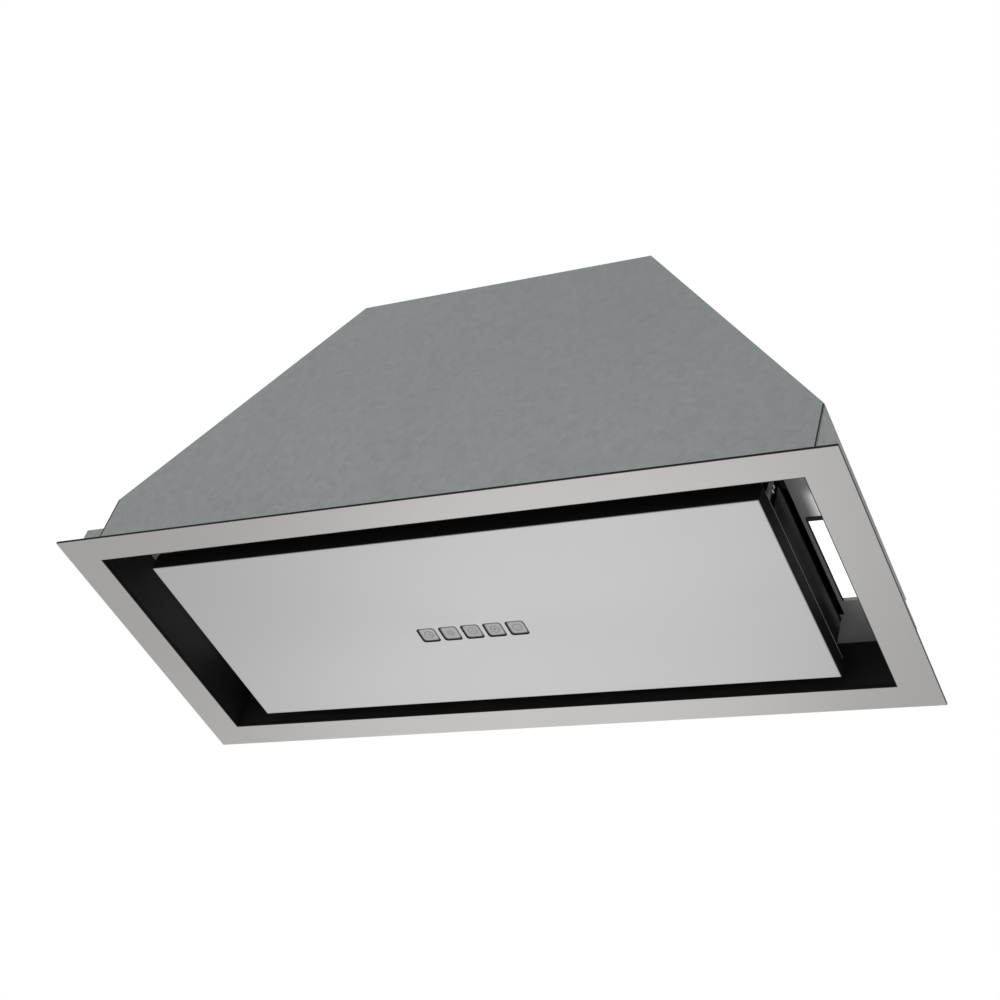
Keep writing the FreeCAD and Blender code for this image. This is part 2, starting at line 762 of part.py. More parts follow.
def make_hinge_pins():
    pins = []
    for sign in (-1, 1):
        span = sided(sign, "hinge_offset - hinge_plate", "hinge_offset + 2 * hinge_plate + hinge_side_gap")
        pins.append(rod("hinge_pin", "x", ("hinge_rear", "hinge_height"), span, "hinge_pin_radius"))
    keep(group("hinge_pins", pins))


def make_catch_clip(side, sign):
    middle = f"{sign} * catch_offset"
    plate_x = about(middle, "catch_plate_width / 2")
    plate_y = about("catch_y", "catch_plate_depth / 2")
    pieces = [block(f"{side}_clip_plate", plate_x, plate_y, ("deck_height - catch_leaf", "deck_height"))]
    leaf_y = about("catch_y", "catch_leaf_depth / 2")
    near = "catch_wide + catch_play"
    for leaf_sign in (-1, 1):
        low, high = sided(leaf_sign, near, f"{near} + catch_leaf")
        leaf_x = (f"{middle} + {low}", f"{middle} + {high}")
        pieces.append(block(f"{side}_clip_leaf", leaf_x, leaf_y, ("catch_foot", "deck_height")))
    keep(joined(f"{side}_catch_clip", *pieces))


def make_catch_studs():
    """Flat snap tongues with arrow heads, each on a foot in a corner of the tray."""
    studs = []
    half_outline = [
        ("catch_tongue", "panel_back"),
        ("catch_tongue", "catch_top - catch_head"),
        ("catch_wide", "catch_top - catch_head"),
        ("catch_tip", "catch_top"),
    ]
    for sign in (-1, 1):
        middle = f"{sign} * catch_offset"
        outline = [(f"{middle} + {reach}", level) for reach, level in half_outline]
        outline += [(f"{middle} - {reach}", level) for reach, level in half_outline[::-1]]
        tongue = prism("stud_tongue", "XZ", outline, *about("catch_y", "catch_tongue"))
        base_x = sided(sign, "catch_offset - catch_base", "panel_half - sheet")
        base_span = ("panel_back", "panel_back + catch_base_height")
        base = block("stud_base", base_x, about("catch_y", "catch_base"), base_span)
        studs.append(joined("catch_stud", base, tongue))
    keep(group("catch_studs", studs))


# Keys and the switch behind them

KEY_NAMES = ["speed_key", "lamp_key", "minus_key", "plus_key", "power_key"]


def make_key(index, name):
    centre = (f"key_row_x + ({index} - (key_count - 1) / 2) * key_pitch", "key_row_y")
    body = new_body(name)
    base = new_sketch(body, "XY", "key_shoulder")
    draw_rectangle(base, about(centre[0], "key_base / 2"), about(centre[1], "key_base / 2"))
    pad(body, base, "XY", "key_shoulder", "key_back")
    cap = new_sketch(body, "XY", "key_face")
    draw_rounded(cap, centre, "key_cap", "key_cap", "key_corner")
    pad(body, cap, "XY", "key_face", "key_shoulder")
    keep(body)


def make_switch():
    body = new_body("switch_housing")
    outline = new_sketch(body, "XY", "panel_back")
    half_x, half_y = "switch_half_x", "switch_half_y"
    draw_rectangle(outline, about("key_row_x", half_x), about("key_row_y", half_y))
    pad(body, outline, "XY", "panel_back", "switch_top")
    hole = new_sketch(body, "XY", "panel_back - overrun")
    first_key = ("key_row_x - (key_count - 1) * key_pitch / 2", "key_row_y")
    draw_rectangle(hole, about(first_key[0], "key_pocket / 2"), about(first_key[1], "key_pocket / 2"))
    first = pocket(body, hole, "XY", "panel_back - overrun", "pocket_top")
    row_of(body, first, hole, "(key_count - 1) * key_pitch", "key_count")
    keep(body)
    board_x = about("key_row_x", f"{half_x} - board_margin")
    board_y = about("key_row_y", f"{half_y} - board_margin")
    keep(block("switch_board", board_x, board_y, ("switch_top", "switch_top + board_sheet")))


# Blower: scroll, wheel and motor

def scroll_face(inset):
    """The scroll's outline, moved in by a wall, as a face in the plane of the scroll's front."""
    centre_x, centre_z = number("blower_x"), number("blower_z")
    start, growth = number("scroll_start"), number("scroll_growth")
    sweep = 1.5 * math.pi
    steps = 6

    def on_spiral(step):
        turn = sweep * step / steps
        radius = start + growth * step / steps - inset
        angle = math.pi / 2 + turn
        return Vector(centre_x + radius * math.cos(angle), 0, centre_z + radius * math.sin(angle))

    arcs = [
        Part.Arc(on_spiral(step), on_spiral(step + 1), on_spiral(step + 2)).toShape()
        for step in range(0, steps, 2)
    ]
    roof = number("roof_under")
    throat_x = centre_x + number("scroll_throat") + inset
    tongue = Vector(throat_x, 0, on_spiral(0).z)
    throat_top = Vector(throat_x, 0, roof)
    outlet_top = Vector(on_spiral(steps).x, 0, roof)
    lines = [
        Part.makeLine(on_spiral(steps), outlet_top),
        Part.makeLine(outlet_top, throat_top),
        Part.makeLine(throat_top, tongue),
        Part.makeLine(tongue, on_spiral(0)),
    ]
    return Part.Face(Part.Wire(arcs + lines))


def make_scroll_half(name, sign, opening):
    """Half of the blower's scroll: half of the rim and a cheek with a round opening."""
    wall, reach = number("scroll_wall"), number("scroll_rear")
    outward = Vector(0, sign, 0)
    rim = scroll_face(0).cut(scroll_face(wall)).extrude(outward * reach)
    cheek = scroll_face(0).extrude(outward * wall)
    cheek.translate(outward * (reach - wall))
    axis_place = Vector(number("blower_x"), 0, number("blower_z"))
    hole = Part.makeCylinder(number(opening), reach + wall, axis_place, outward)
    item = doc.addObject("Part::Feature", name)
    item.Shape = rim.fuse(cheek).cut(hole).removeSplitter()
    keep(item)


def make_wheel():
    """A wheel with its inlet at the front: forward-curved blades from a ring to a back disc with a hub."""
    forward = Vector(0, 1, 0)
    centre = Vector(number("blower_x"), 0, number("blower_z"))
    half, radius = number("wheel_half"), number("wheel_radius")
    disc, ring, ring_depth = number("wheel_disc"), number("wheel_ring"), number("wheel_ring_depth")

    def tube(middle, outer_radius, inner_radius, start, end):
        """A tube along the axle, round a place in the plane of the wheel's middle."""
        foot, length = middle + forward * start, end - start
        solid = Part.makeCylinder(outer_radius, length, foot, forward)
        return solid.cut(Part.makeCylinder(inner_radius, length, foot, forward))

    hub, hub_radius = number("hub_length"), number("hub_radius")
    pieces = [
        Part.makeCylinder(radius, disc, centre + forward * (half - disc), forward),
        Part.makeCylinder(hub_radius, hub, centre + forward * (half - hub), forward),
        tube(centre, radius, radius - ring_depth, -half, ring - half),
    ]
    curve, sheet, trim = number("blade_radius"), number("blade_sheet"), number("blade_trim")
    bow = centre + Vector(radius - ring_depth + trim, 0, curve - sheet / 2)
    leaf = tube(bow, curve, curve - sheet, ring - half, half - disc)
    quarter = Part.makeBox(ring_depth - 2 * trim, 2 * half, curve, bow - Vector(0, half, curve))
    blade = leaf.common(quarter)
    count = int(number("blade_count"))
    for index in range(count):
        copy = blade.copy()
        copy.rotate(centre, forward, 360 * index / count)
        pieces.append(copy)
    bore = Part.makeCylinder(number("shaft_radius"), 2 * half, centre - forward * half, forward)
    item = doc.addObject("Part::Feature", "impeller_wheel")
    item.Shape = pieces[0].fuse(pieces[1:]).cut(bore).removeSplitter()
    keep(item)


def make_motor():
    axis = ("blower_x", "blower_z")
    stack_sides = 8
    stack = polygon_bar("motor_stack", "y", axis, ("motor_front", "motor_rear"), "motor_radius", stack_sides)
    bore_span = ("motor_front - overrun", "shaft_rear + shaft_play")
    bore = rod("motor_bore", "y", axis, bore_span, "shaft_radius + shaft_play")
    keep(cut("motor", stack, bore))
    keep(rod("impeller_shaft", "y", axis, ("shaft_front", "shaft_rear"), "shaft_radius"))

    plate_span = ("motor_rear", "motor_rear + bracket_sheet")
    plate_x, plate_z = about("blower_x", "bracket_plate / 2"), about("blower_z", "bracket_plate / 2")
    pieces = [block("bracket_plate", plate_x, plate_span, plate_z)]
    arm_angles = (90, 210, 330)
    for angle in arm_angles:
        width = about("0", "bracket_arm / 2")
        arm = block("bracket_arm", ("0", "bracket_reach"), ("0", "bracket_sheet"), width)
        post_x = ("bracket_reach - bracket_sheet", "bracket_reach")
        post = block("bracket_post", post_x, ("scroll_rear - motor_rear", "0"), width)
        spoke = joined("bracket_spoke", arm, post)
        spoke.Placement = FreeCAD.Placement(Vector(), FreeCAD.Rotation(Vector(0, 1, 0), -angle))
        for letter, text in zip("xyz", ("blower_x", "motor_rear", "blower_z")):
            spoke.setExpression(f"Placement.Base.{letter}", bound(text))
        pieces.append(spoke)
    keep(joined("motor_bracket", *pieces))


# Outlet spigot and its flaps

def make_collar():
    rim_span = ("casing_height", "casing_height + collar_sheet")
    tube_span = ("casing_height", "casing_height + duct_length")
    bore_span = ("casing_height - overrun", "casing_height + duct_length + overrun")
    centre = ("0", "0")
    side_span = about("0", "collar_half")
    rim = block("collar_rim", side_span, side_span, rim_span)
    tube = rod("collar_tube", "z", centre, tube_span, "duct_radius")
    blank = joined("collar_blank", rim, tube)
    pipe = cut("collar_pipe", blank, rod("collar_bore", "z", centre, bore_span, "duct_bore"))
    stop_top = "flap_height - flap_sheet / 2 - flap_stop_gap"
    stop_z = (f"{stop_top} - flap_sheet", stop_top)
    pieces = [pipe]
    for sign in (-1, 1):
        stop_y = sided(sign, "duct_bore - flap_stop", "duct_bore + duct_wall / 2")
        pieces.append(block("collar_stop", about("0", "flap_stop"), stop_y, stop_z))
        x_span = sided(sign, "duct_bore - flap_boss", "duct_bore + duct_wall / 2")
        boss_z = about("flap_height", "flap_boss_half")
        pieces.append(block("collar_boss", x_span, about("0", "flap_boss_half"), boss_z))
    solid = joined("collar_solid", *pieces)
    pin_span = ("-duct_bore", "duct_bore")
    saddle_z = ("flap_height - flap_pin_radius", "flap_height + flap_boss_half + overrun")
    saddle = block("pin_saddle", pin_span, about("0", "flap_pin_radius"), saddle_z)
    keep(cut("duct_collar", solid, saddle))
    keep(rod("flap_pin", "x", ("0", "flap_height"), pin_span, "flap_pin_radius"))

    heads = []
    head_span = ("casing_height + collar_sheet", "casing_height + collar_sheet + screw_head")
    for x_sign, y_sign in ((1, 1), (-1, 1), (-1, -1), (1, -1)):
        place = [f"{sign} * (collar_half - collar_screw_inset)" for sign in (x_sign, y_sign)]
        heads.append(polygon_bar("collar_screw", "z", place, head_span, "screw_radius"))
    keep(group("collar_screws", heads))


def make_flap(name, turn, knuckles):
    """Half a disc on its side of the pin, with tubes that turn on the pin."""
    level = about("flap_height", "flap_sheet / 2")
    disc = rod(f"{name}_disc", "z", ("0", "0"), level, "flap_radius")
    disc.Angle = 180
    trim_x = ("-duct_radius", "duct_radius")
    trim = block(f"{name}_trim", trim_x, ("-overrun", "flap_root"), about("flap_height", "flap_sheet"))
    pieces = [cut(f"{name}_plate", disc, trim)]
    for span in knuckles:
        pieces.append(polygon_bar(f"{name}_tube", "x", ("0", "flap_height"), span, "flap_tube"))
        pieces.append(block(f"{name}_web", span, ("0", "flap_root"), level))
    solid = joined(f"{name}_solid", *pieces)
    bore = rod(f"{name}_bore", "x", ("0", "flap_height"), trim_x, "flap_pin_radius + flap_play")
    item = cut(name, solid, bore)
    item.Placement = FreeCAD.Placement(Vector(), FreeCAD.Rotation(Vector(0, 0, 1), turn))
    keep(item)


# Electrics over the deck

def make_electrics():
    x_span = ("box_left", "box_right")
    y_span = ("box_front", "box_rear")
    tray = block("box_blank", x_span, y_span, ("deck_top", "box_top"))
    room_x = ("box_left + box_wall", "box_right - box_wall")
    room_y = ("box_front + box_wall", "box_rear - box_wall")
    room = block("box_room", room_x, room_y, ("deck_top + box_wall", "box_top + overrun"))
    keep(cut("control_box", tray, room))
    keep(block("control_box_lid", x_span, y_span, ("box_top", "box_top + box_wall")))

    left = "box_left + box_wall + terminal_inset"
    front = "box_front + box_wall + terminal_inset"
    floor = "deck_top + box_wall"
    keep(block("terminal_block", (left, f"{left} + terminal_width"),
               (front, f"{front} + terminal_depth"), (floor, f"{floor} + terminal_height")))

    capacitor_x = about("capacitor_x", "capacitor_width / 2")
    capacitor_y = about("capacitor_y", "capacitor_depth / 2")
    keep(block("motor_capacitor", capacitor_x, capacitor_y, ("deck_top", "deck_top + capacitor_height")))

    centre = ("gland_x", "gland_y")
    nut_top = "casing_height + gland_nut_height"
    nut = polygon_bar("gland_nut", "z", centre, ("casing_height", nut_top), "gland_nut")
    cap = polygon_bar("gland_cap", "z", centre, (nut_top, f"{nut_top} + gland_cap_height"), "gland_cap")
    hole_span = ("casing_height - overrun", f"{nut_top} + gland_cap_height + overrun")
    hole = rod("gland_hole", "z", centre, hole_span, "gland_bore")
    keep(cut("cable_gland", joined("gland_solid", nut, cap), hole))


def main():
    make_trim_flange()
    make_casing()
    make_fixing_lug()
    make_intake()
    make_filter()
    make_panel_skin()
    make_stiffener()
    for side, sign in (("left", -1), ("right", 1)):
        make_lamp(side, sign)
        make_latch(side, sign)
        make_hinge(side, sign)
        make_catch_clip(side, sign)
    make_hinge_pins()
    make_catch_studs()
    for index, name in enumerate(KEY_NAMES):
        make_key(index, name)
    make_switch()
    make_scroll_half("front_scroll_half", -1, "inlet_radius")
    make_scroll_half("rear_scroll_half", 1, "shaft_radius + shaft_room")
    make_wheel()
    make_motor()
    make_collar()
    make_flap("front_flap", 180, [("-knuckle_far", "-knuckle_near"), ("knuckle_near", "knuckle_far")])
    make_flap("rear_flap", 0, [("-knuckle_inner", "knuckle_inner")])
    make_electrics()
    doc.recompute()

    for item in doc.Objects:
        if "Invalid" in item.State or "Error" in item.State:
            raise RuntimeError(f"{item.Label} did not build: {item.State}")
    for name, item in sub_parts.items():
        if item.Shape.isNull() or not item.Shape.isValid() or not item.Shape.Solids:
            raise RuntimeError(f"{name} has no valid solid")
    os.makedirs("parts", exist_ok=True)
    for name, item in sub_parts.items():
        item.Shape.exportStep(f"parts/{name}.step")
    print(f"{len(sub_parts)} sub-parts written")


main()
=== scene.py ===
"""Looks of a built-in range hood: finishes, thin trim, signs on the keys, light and camera."""
import json
import math

import bmesh
import bpy
from mathutils import Matrix, Vector


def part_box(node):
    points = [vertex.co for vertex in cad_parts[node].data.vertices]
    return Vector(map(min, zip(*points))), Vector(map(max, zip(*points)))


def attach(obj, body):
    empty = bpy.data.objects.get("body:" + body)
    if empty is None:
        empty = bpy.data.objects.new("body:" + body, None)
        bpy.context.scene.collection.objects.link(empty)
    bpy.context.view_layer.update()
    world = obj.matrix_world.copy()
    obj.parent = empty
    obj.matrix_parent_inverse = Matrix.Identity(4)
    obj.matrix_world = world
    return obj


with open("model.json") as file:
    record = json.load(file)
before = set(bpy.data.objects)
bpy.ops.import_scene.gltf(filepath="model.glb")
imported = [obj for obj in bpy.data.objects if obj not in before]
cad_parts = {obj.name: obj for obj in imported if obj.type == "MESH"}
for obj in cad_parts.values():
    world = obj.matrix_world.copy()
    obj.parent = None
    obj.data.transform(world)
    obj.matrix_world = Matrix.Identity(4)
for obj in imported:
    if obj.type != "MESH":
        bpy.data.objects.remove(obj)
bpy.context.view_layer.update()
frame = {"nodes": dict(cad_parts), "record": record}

MM = 0.001
ALONG_X = Vector((1, 0, 0))
ALONG_Y = Vector((0, 1, 0))
ALONG_Z = Vector((0, 0, 1))
SIDES = {"left": -1, "right": 1}

scene = bpy.context.scene
nodes = frame["nodes"]


# The colour sockets of a mix node, whose names its other data types use as well
MIX_COLOURS = slice(6, 8)
MIX_RESULT = 2


class Finish:
    """A node material under construction, with short calls for the nodes that finishes share."""

    def __init__(self, name):
        self.material = bpy.data.materials.new(name)
        self.material.use_nodes = True
        self.tree = self.material.node_tree
        self.shader = self.tree.nodes["Principled BSDF"]
        self.place = self.node("ShaderNodeTexCoord").outputs["Object"]

    def node(self, kind, **settings):
        item = self.tree.nodes.new(kind)
        for key, value in settings.items():
            setattr(item, key, value)
        return item

    def feed(self, source, target):
        self.tree.links.new(source, target)

    def set(self, **values):
        """Constant numbers and colours, straight on the shader's own sockets."""
        for key, value in values.items():
            self.shader.inputs[key.replace("_", " ")].default_value = value

    def stretched(self, stretch):
        mapping = self.node("ShaderNodeMapping")
        mapping.inputs["Scale"].default_value = stretch
        self.feed(self.place, mapping.inputs["Vector"])
        return mapping.outputs["Vector"]

    def noise(self, stretch, detail=3.0, roughness=0.5):
        """Noise with so many features a metre along X, Y and Z."""
        item = self.node("ShaderNodeTexNoise")
        item.inputs["Scale"].default_value = 1.0
        item.inputs["Detail"].default_value = detail
        item.inputs["Roughness"].default_value = roughness
        self.feed(self.stretched(stretch), item.inputs["Vector"])
        return item.outputs["Fac"]

    def cells(self, per_metre, output="Color"):
        item = self.node("ShaderNodeTexVoronoi")
        item.inputs["Scale"].default_value = per_metre
        self.feed(self.place, item.inputs["Vector"])
        return item.outputs[output]

    def spread(self, factor, low, high, span=(0.25, 0.75)):
        """The factor, taken from a span of its own to a range of values."""
        item = self.node("ShaderNodeMapRange")
        for key, value in zip(("From Min", "From Max", "To Min", "To Max"), (*span, low, high)):
            item.inputs[key].default_value = value
        self.feed(factor, item.inputs["Value"])
        return item.outputs["Result"]

    def math(self, operation, first, second=0.0):
        item = self.node("ShaderNodeMath", operation=operation)
        for socket, value in zip(item.inputs, (first, second)):
            if isinstance(value, (int, float)):
                socket.default_value = value
            else:
                self.feed(value, socket)
        return item.outputs["Value"]

    def product(self, first, *others):
        for other in others:
            first = self.math("MULTIPLY", first, other)
        return first

    def blend(self, first, second, share):
        """So large a share of the first factor, and the rest of the second."""
        return self.math("ADD", self.product(first, share), self.product(second, 1 - share))

    def size(self, value):
        return self.math("ABSOLUTE", value)

    def split(self, vector):
        item = self.node("ShaderNodeSeparateXYZ")
        self.feed(vector, item.inputs["Vector"])
        return item.outputs

    def mix(self, factor, first, second):
        """A colour between two; each is a tuple or a colour output."""
        item = self.node("ShaderNodeMix", data_type="RGBA")
        self.feed(factor, item.inputs["Factor"])
        for socket, value in zip(item.inputs[MIX_COLOURS], (first, second)):
            if isinstance(value, tuple):
                socket.default_value = (*value, 1.0)
            else:
                self.feed(value, socket)
        return item.outputs[MIX_RESULT]

    def bump(self, height, depth_mm, strength):
        item = self.node("ShaderNodeBump")
        item.inputs["Distance"].default_value = depth_mm * MM
        item.inputs["Strength"].default_value = strength
        self.feed(height, item.inputs["Height"])
        self.feed(item.outputs["Normal"], self.shader.inputs["Normal"])

    def paint(self, colour, roughness):
        self.feed(colour, self.shader.inputs["Base Color"])
        self.feed(roughness, self.shader.inputs["Roughness"])
        return self.material


def shade(colour, factor):
    return tuple(channel * factor for channel in colour)


def grey(tone):
    return (tone, tone, tone)


# Finishes of sheet metal

BEND_SPAN = (0.7, 0.995)
ASIDE_SPAN = (0.85, 0.97)
RIM_SPAN = (0.7 * MM, 1.1 * MM)
# Where lamp light is painted on a lamp shelf, and how strong its painted glow is
PAINTED_POOL_SIDE = (286 * MM, 295 * MM)
PAINTED_POOL_FRONT = (-63 * MM, -52 * MM)
PAINTED_POOL_REAR = (-30 * MM, -26 * MM)
PAINTED_POOL_GLOW = 0.3
SIDE_TONE = (0.22, 0.225, 0.225)
SIDE_SPAN = (0.7 * MM, 1.0 * MM)
EDGE_DULLNESS = 0.25
ZINC = (0.217, 0.2275, 0.2285)
CRYSTALS_PER_METRE = 165
CRYSTAL_SHARE = 0.22


def flat_faces(finish):
    """Two factors from the way that a face looks at rest.

    The first is one on faces that look up or down, falling to zero round a bend and on cut edges.
    Where it is zero, the finishes paint shade.
    The second is one on faces that look along X.
    """
    geometry = finish.node("ShaderNodeNewGeometry")
    own = finish.node("ShaderNodeVectorTransform", vector_type="NORMAL",
                      convert_from="WORLD", convert_to="OBJECT")
    finish.feed(geometry.outputs["True Normal"], own.inputs["Vector"])
    way = finish.split(own.outputs["Vector"])
    flat = finish.spread(finish.size(way["Z"]), 0, 1, BEND_SPAN)
    aside = finish.spread(finish.size(way["X"]), 0, 1, ASIDE_SPAN)
    return flat, aside


def beyond_rim(finish, opening):
    """Zero on a narrow rim round an opening of a half width and half depth, one beyond it."""
    place = finish.split(finish.place)
    past = [finish.math("SUBTRACT", finish.size(place[axis]), half)
            for axis, half in zip("XY", opening)]
    return finish.spread(finish.math("MAXIMUM", *past), 0, 1, RIM_SPAN)


def painted_lamp_pool(finish):
    """One where lamp light is painted on a shelf in front of its lamp, falling softly to zero
    round that place.
    """
    place = finish.split(finish.place)
    out = finish.spread(finish.size(place["X"]), 0, 1, PAINTED_POOL_SIDE)
    front = finish.spread(place["Y"], 0, 1, PAINTED_POOL_FRONT)
    rear = finish.spread(place["Y"], 1, 0, PAINTED_POOL_REAR)
    return finish.product(out, front, rear)


def brushed_steel(name, colour, roughness, edge, sheen=1.0, opening=None, painted_pool=None):
    """Fine grain along X with soft clouds in its tone.

    Edge is painted shade: the dark tone on bends, side walls and cut edges, and along the rim
    round an opening. The outer side faces of a sheet with an opening have a tone of their own,
    above a painted shadow line along their foot. The last argument is the tone of lamp light
    painted on a shelf in front of its lamp, with a painted glow.
    """
    finish = Finish(name)
    finish.set(Anisotropic=0.3, Specular_IOR_Level=0.06)
    grain = finish.noise((14, 1400, 1400), detail=4, roughness=0.6)
    clouds = finish.noise((5, 7, 5), detail=2)
    tone = finish.spread(finish.blend(grain, clouds, share=0.5), 0, 1, span=(0.3, 0.7))
    face = finish.mix(tone, shade(colour, 0.98), shade(colour, 1.02))
    finish.bump(grain, depth_mm=0.02, strength=0.08)
    # Bends, side walls and cut edges get the edge tone, which is painted shade
    flat, aside = flat_faces(finish)
    # The rim round an opening and the foot of the outer side faces get the edge tone too, as a
    # painted shadow line
    if opening:
        beyond = beyond_rim(finish, opening)
        flat = finish.product(flat, beyond)
        upper = finish.spread(finish.split(finish.place)["Z"], 0, 1, SIDE_SPAN)
        edge = finish.mix(finish.product(aside, beyond, upper), edge, SIDE_TONE)
    metal = finish.product(flat, sheen)
    # Lamp light painted on the shelf in front of its lamp, with a painted glow in the emission
    if painted_pool:
        glow = painted_lamp_pool(finish)
        face = finish.mix(glow, face, painted_pool)
        finish.set(Emission_Strength=PAINTED_POOL_GLOW)
        painted_spill = finish.mix(finish.math("POWER", glow, 2), grey(0.0), painted_pool)
        finish.feed(painted_spill, finish.shader.inputs["Emission Color"])
        metal = finish.product(metal, finish.math("SUBTRACT", 1.0, glow))
    finish.feed(metal, finish.shader.inputs["Metallic"])
    worn = finish.spread(grain, roughness - 0.03, roughness + 0.04)
    dull = finish.product(finish.math("SUBTRACT", 1.0, flat), EDGE_DULLNESS)
    return finish.paint(finish.mix(flat, edge, face), finish.math("ADD", worn, dull))


def galvanised_steel():
    """Zinc spangle: faint crystals of some six millimetres under a dull skin."""
    finish = Finish("galvanised_steel")
    finish.set(Metallic=1.0)
    crystals = finish.node("ShaderNodeSeparateColor")
    finish.feed(finish.cells(CRYSTALS_PER_METRE), crystals.inputs["Color"])
    skin = finish.noise((260, 260, 260), detail=5, roughness=0.65)
    clouds = finish.noise((7, 7, 7), detail=3)
    tone = finish.spread(finish.blend(crystals.outputs["Red"], clouds, CRYSTAL_SHARE), 0, 1)
    finish.bump(skin, depth_mm=0.05, strength=0.2)
    facets = finish.product(crystals.outputs["Green"], 0.08)
    rough = finish.math("ADD", finish.spread(skin, 0.40, 0.50), facets)
    return finish.paint(finish.mix(tone, shade(ZINC, 0.965), shade(ZINC, 1.035)), rough)


def bright_steel(name, tone):
    """Plated hardware with a light drawn finish along X."""
    finish = Finish(name)
    finish.set(Metallic=1.0)
    drawn = finish.noise((30, 900, 900), detail=3)
    clouds = finish.noise((60, 60, 60), detail=3)
    dim = shade((0.99, 0.99, 0.97), tone * 0.85)
    clear = shade((1.0, 1.0, 0.97), tone * 1.15)
    base = finish.mix(clouds, dim, clear)
    finish.bump(drawn, depth_mm=0.005, strength=0.03)
    return finish.paint(base, finish.spread(drawn, 0.28, 0.34))


def filter_aluminium():
    """Rolled aluminium with a fine grain along X and faint clouds of grease."""
    finish = Finish("filter_aluminium")
    finish.set(Metallic=1.0)
    grain = finish.noise((20, 900, 900), detail=3)
    clouds = finish.noise((9, 9, 9), detail=3)
    base = finish.mix(finish.spread(clouds, 0, 1), (0.52, 0.515, 0.50), (0.64, 0.64, 0.63))
    finish.bump(grain, depth_mm=0.02, strength=0.15)
    return finish.paint(base, finish.spread(grain, 0.34, 0.46))


def motor_steel():
    """A dark lacquered can with faint turning marks along its length."""
    finish = Finish("motor_steel")
    finish.set(Metallic=0.8)
    marks = finish.noise((20, 1500, 20), detail=3)
    base = finish.mix(marks, (0.10, 0.10, 0.11), (0.17, 0.17, 0.18))
    finish.bump(marks, depth_mm=0.03, strength=0.3)
    return finish.paint(base, finish.spread(marks, 0.3, 0.45))


# Finishes of paint and plastic

# The guides' painted light, greyer up towards the lamp and out at the ends, and their painted
# shadow along the top
GUIDE_PAINTED_LIGHT_RISE = (30 * MM, 43.5 * MM)
GUIDE_PAINTED_SHADOW = (43.6 * MM, 44.0 * MM)
GUIDE_MIDDLE = 12 * MM
GUIDE_PAINTED_LIGHT_ENDS = (25 * MM, 62 * MM)
GUIDE_PAINTED_LIGHT_TONES = (0.0055, 0.058)
GUIDE_PAINTED_LIGHT_CURVE = 1.5
GUIDE_PAINTED_SHADOW_SHARE = 0.06
GUIDE_PAINTED_LIGHT_END_SHARE = 3.4
# How far the painted shade from a key's recess reaches in on the border of its face
PAINTED_SHADE_BORDER_POWER = 6
PAINTED_SHADE_BORDER_SPAN = (0.0018, 0.0038)


def black_enamel(name, tone, gloss):
    """Dull black paint with a faint orange peel and a little dust."""
    finish = Finish(name)
    peel = finish.noise((420, 420, 420), detail=2)
    dust = finish.noise((18, 18, 18), detail=4)
    dusty = finish.spread(dust, 0, 1, span=(0.35, 0.8))
    base = finish.mix(dusty, grey(tone), grey(tone * 1.5))
    finish.set(Specular_IOR_Level=gloss)
    finish.bump(peel, depth_mm=0.05, strength=0.12)
    return finish.paint(base, finish.spread(dust, 0.5, 0.6))


def guide_painted_light_and_shade():
    """Matt black on the filter guides, with painted light greyer towards the lamp and at the ends,
    and a painted shadow dead black along the top.
    """
    finish = Finish("guide_painted_light_and_shade")
    finish.set(Specular_IOR_Level=0.03)
    place = finish.split(finish.place)
    # Painted light rising towards the lamp, a painted shadow along the top, painted light at the
    # ends
    rise = finish.math("POWER", finish.spread(place["Z"], 0, 1, GUIDE_PAINTED_LIGHT_RISE), GUIDE_PAINTED_LIGHT_CURVE)
    top = finish.spread(place["Z"], 1, GUIDE_PAINTED_SHADOW_SHARE, GUIDE_PAINTED_SHADOW)
    off_middle = finish.size(finish.math("SUBTRACT", place["Y"], GUIDE_MIDDLE))
    ends = finish.spread(off_middle, 1, GUIDE_PAINTED_LIGHT_END_SHARE, GUIDE_PAINTED_LIGHT_ENDS)
    dust = finish.noise((18, 18, 18), detail=4)
    tone = finish.spread(rise, *GUIDE_PAINTED_LIGHT_TONES, span=(0, 1))
    finish.bump(finish.noise((420, 420, 420), detail=2), depth_mm=0.05, strength=0.12)
    colour = finish.product(tone, finish.spread(dust, 0.9, 1.1), ends, top)
    return finish.paint(colour, finish.spread(dust, 0.5, 0.6))


def moulded_plastic(name, colour, roughness, grains_per_metre):
    """Fine spark-eroded grain, a little uneven in tone."""
    finish = Finish(name)
    leather = finish.cells(grains_per_metre, "Distance")
    clouds = finish.noise((30, 30, 30), detail=3)
    base = finish.mix(clouds, shade(colour, 0.85), shade(colour, 1.15))
    finish.bump(leather, depth_mm=0.06, strength=0.35)
    return finish.paint(base, finish.spread(clouds, roughness - 0.06, roughness + 0.06))


def key_plastic():
    """Pale plastic with a fine grain, darker on the rounded border of a key with painted shade
    from its recess.
    """
    finish = Finish("key_plastic")
    leather = finish.cells(1500, "Distance")
    clouds = finish.noise((30, 30, 30), detail=3)
    face = finish.mix(clouds, grey(0.43), grey(0.53))
    finish.bump(leather, depth_mm=0.05, strength=0.3)
    place = finish.split(finish.node("ShaderNodeTexCoord").outputs["Generated"])
    # The border of the face, out towards its sides, gets painted shade
    reach = []
    for axis in "XY":
        off_middle = finish.size(finish.math("SUBTRACT", place[axis], 0.5))
        reach.append(finish.math("POWER", off_middle, PAINTED_SHADE_BORDER_POWER))
    inner = finish.spread(finish.math("ADD", *reach), 1, 0, PAINTED_SHADE_BORDER_SPAN)
    flat = finish.product(flat_faces(finish)[0], inner)
    return finish.paint(finish.mix(flat, grey(0.05), face), finish.spread(clouds, 0.38, 0.5))


